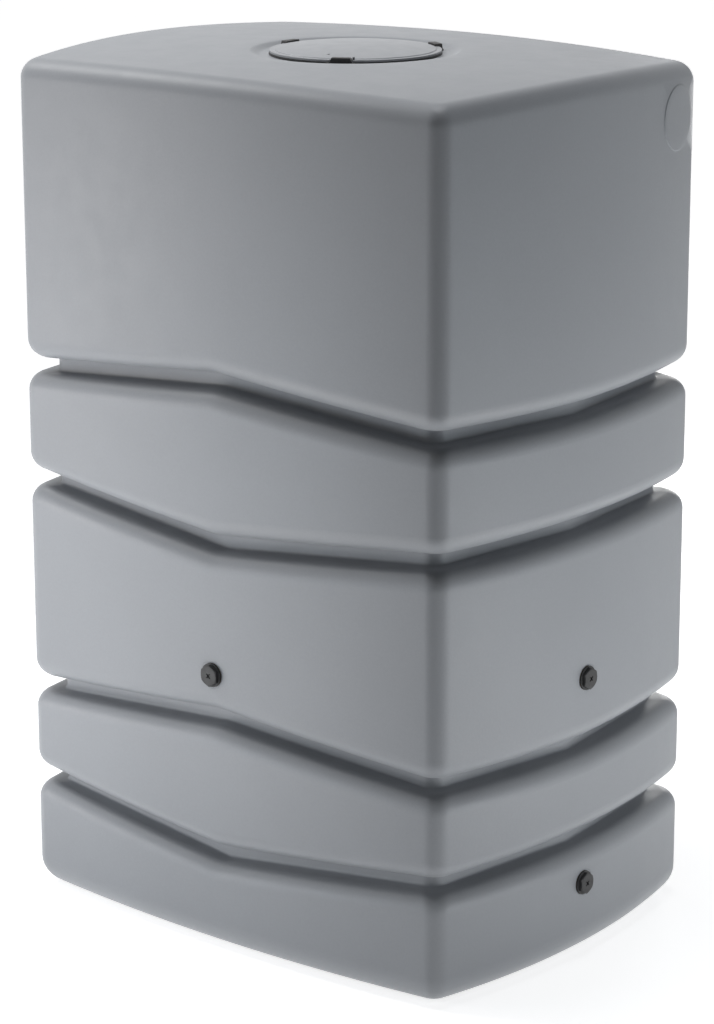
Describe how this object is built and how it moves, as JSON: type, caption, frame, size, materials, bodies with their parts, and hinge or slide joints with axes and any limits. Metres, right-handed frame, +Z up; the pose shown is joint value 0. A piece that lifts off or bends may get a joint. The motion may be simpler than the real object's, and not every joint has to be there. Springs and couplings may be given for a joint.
{
  "type": "rain barrel",
  "caption": "Tall free-standing hollow rain tank of rounded rectangular plan, with grooves that zigzag around it in bands, a round bayonet lid on top and threaded outlets with hex plugs",
  "frame": {"origin": "middle of the flat base, on the floor", "axes": "+Z up along the height, -Y out of the wide front face, +X out of the side face that carries the two side outlets"},
  "size_m": [0.8882, 0.6762, 1.3247],
  "materials": {
    "tank_plastic": "fine matt moulded grey polyethylene",
    "black_plastic": "satin black moulded plastic",
    "rubber": "matt black rubber",
    "brass": "turned brass",
    "steel": "bright stainless steel"
  },
  "bodies": {
    "tank": {"tank_shell": "tank_plastic", "neck_ring": "black_plastic", "neck_screws": "steel", "insert_front": "brass", "insert_side_high": "brass", "insert_side_low": "brass"},
    "seal": {"lid_seal": "rubber"},
    "cover": {"lid": "tank_plastic"},
    "washer_front": {"washer_front": "rubber"},
    "plug_front": {"plug_front": "black_plastic"},
    "washer_side_high": {"washer_side_high": "rubber"},
    "plug_side_high": {"plug_side_high": "black_plastic"},
    "washer_side_low": {"washer_side_low": "rubber"},
    "plug_side_low": {"plug_side_low": "black_plastic"}
  },
  "joints": [
    {"name": "lid_lift", "type": "slide", "parent": "tank", "child": "seal", "axis": [0, 0, 1], "range_m": [0, 0.15]},
    {"name": "lid_turn", "type": "hinge", "parent": "seal", "child": "cover", "pos_m": [0, 0, 1.3145], "axis": [0, 0, -1], "range_deg": [0, 30]},
    {"name": "washer_slide_front", "type": "slide", "parent": "tank", "child": "washer_front", "axis": [0, -1, 0], "range_m": [0, 0.01461]},
    {"name": "plug_turn_front", "type": "hinge", "parent": "washer_front", "child": "plug_front", "pos_m": [0, -0.3336, 0.433], "axis": [0, -1, 0], "range_deg": [0, 2880]},
    {"name": "washer_slide_side_high", "type": "slide", "parent": "tank", "child": "washer_side_high", "axis": [1, 0, 0], "range_m": [0, 0.01461]},
    {"name": "plug_turn_side_high", "type": "hinge", "parent": "washer_side_high", "child": "plug_side_high", "pos_m": [0.4391, -0.0045, 0.436], "axis": [1, 0, 0], "range_deg": [0, 2880]},
    {"name": "washer_slide_side_low", "type": "slide", "parent": "tank", "child": "washer_side_low", "axis": [1, 0, 0], "range_m": [0, 0.01461]},
    {"name": "plug_turn_side_low", "type": "hinge", "parent": "washer_side_low", "child": "plug_side_low", "pos_m": [0.4391, -0.0045, 0.117], "axis": [1, 0, 0], "range_deg": [0, 2880]}
  ],
  "couplings": [
    {"joint": "washer_slide_front", "follows": "plug_turn_front", "m_per_rad": 0.00028871},
    {"joint": "washer_slide_side_high", "follows": "plug_turn_side_high", "m_per_rad": 0.00028871},
    {"joint": "washer_slide_side_low", "follows": "plug_turn_side_low", "m_per_rad": 0.00028871}
  ]
}
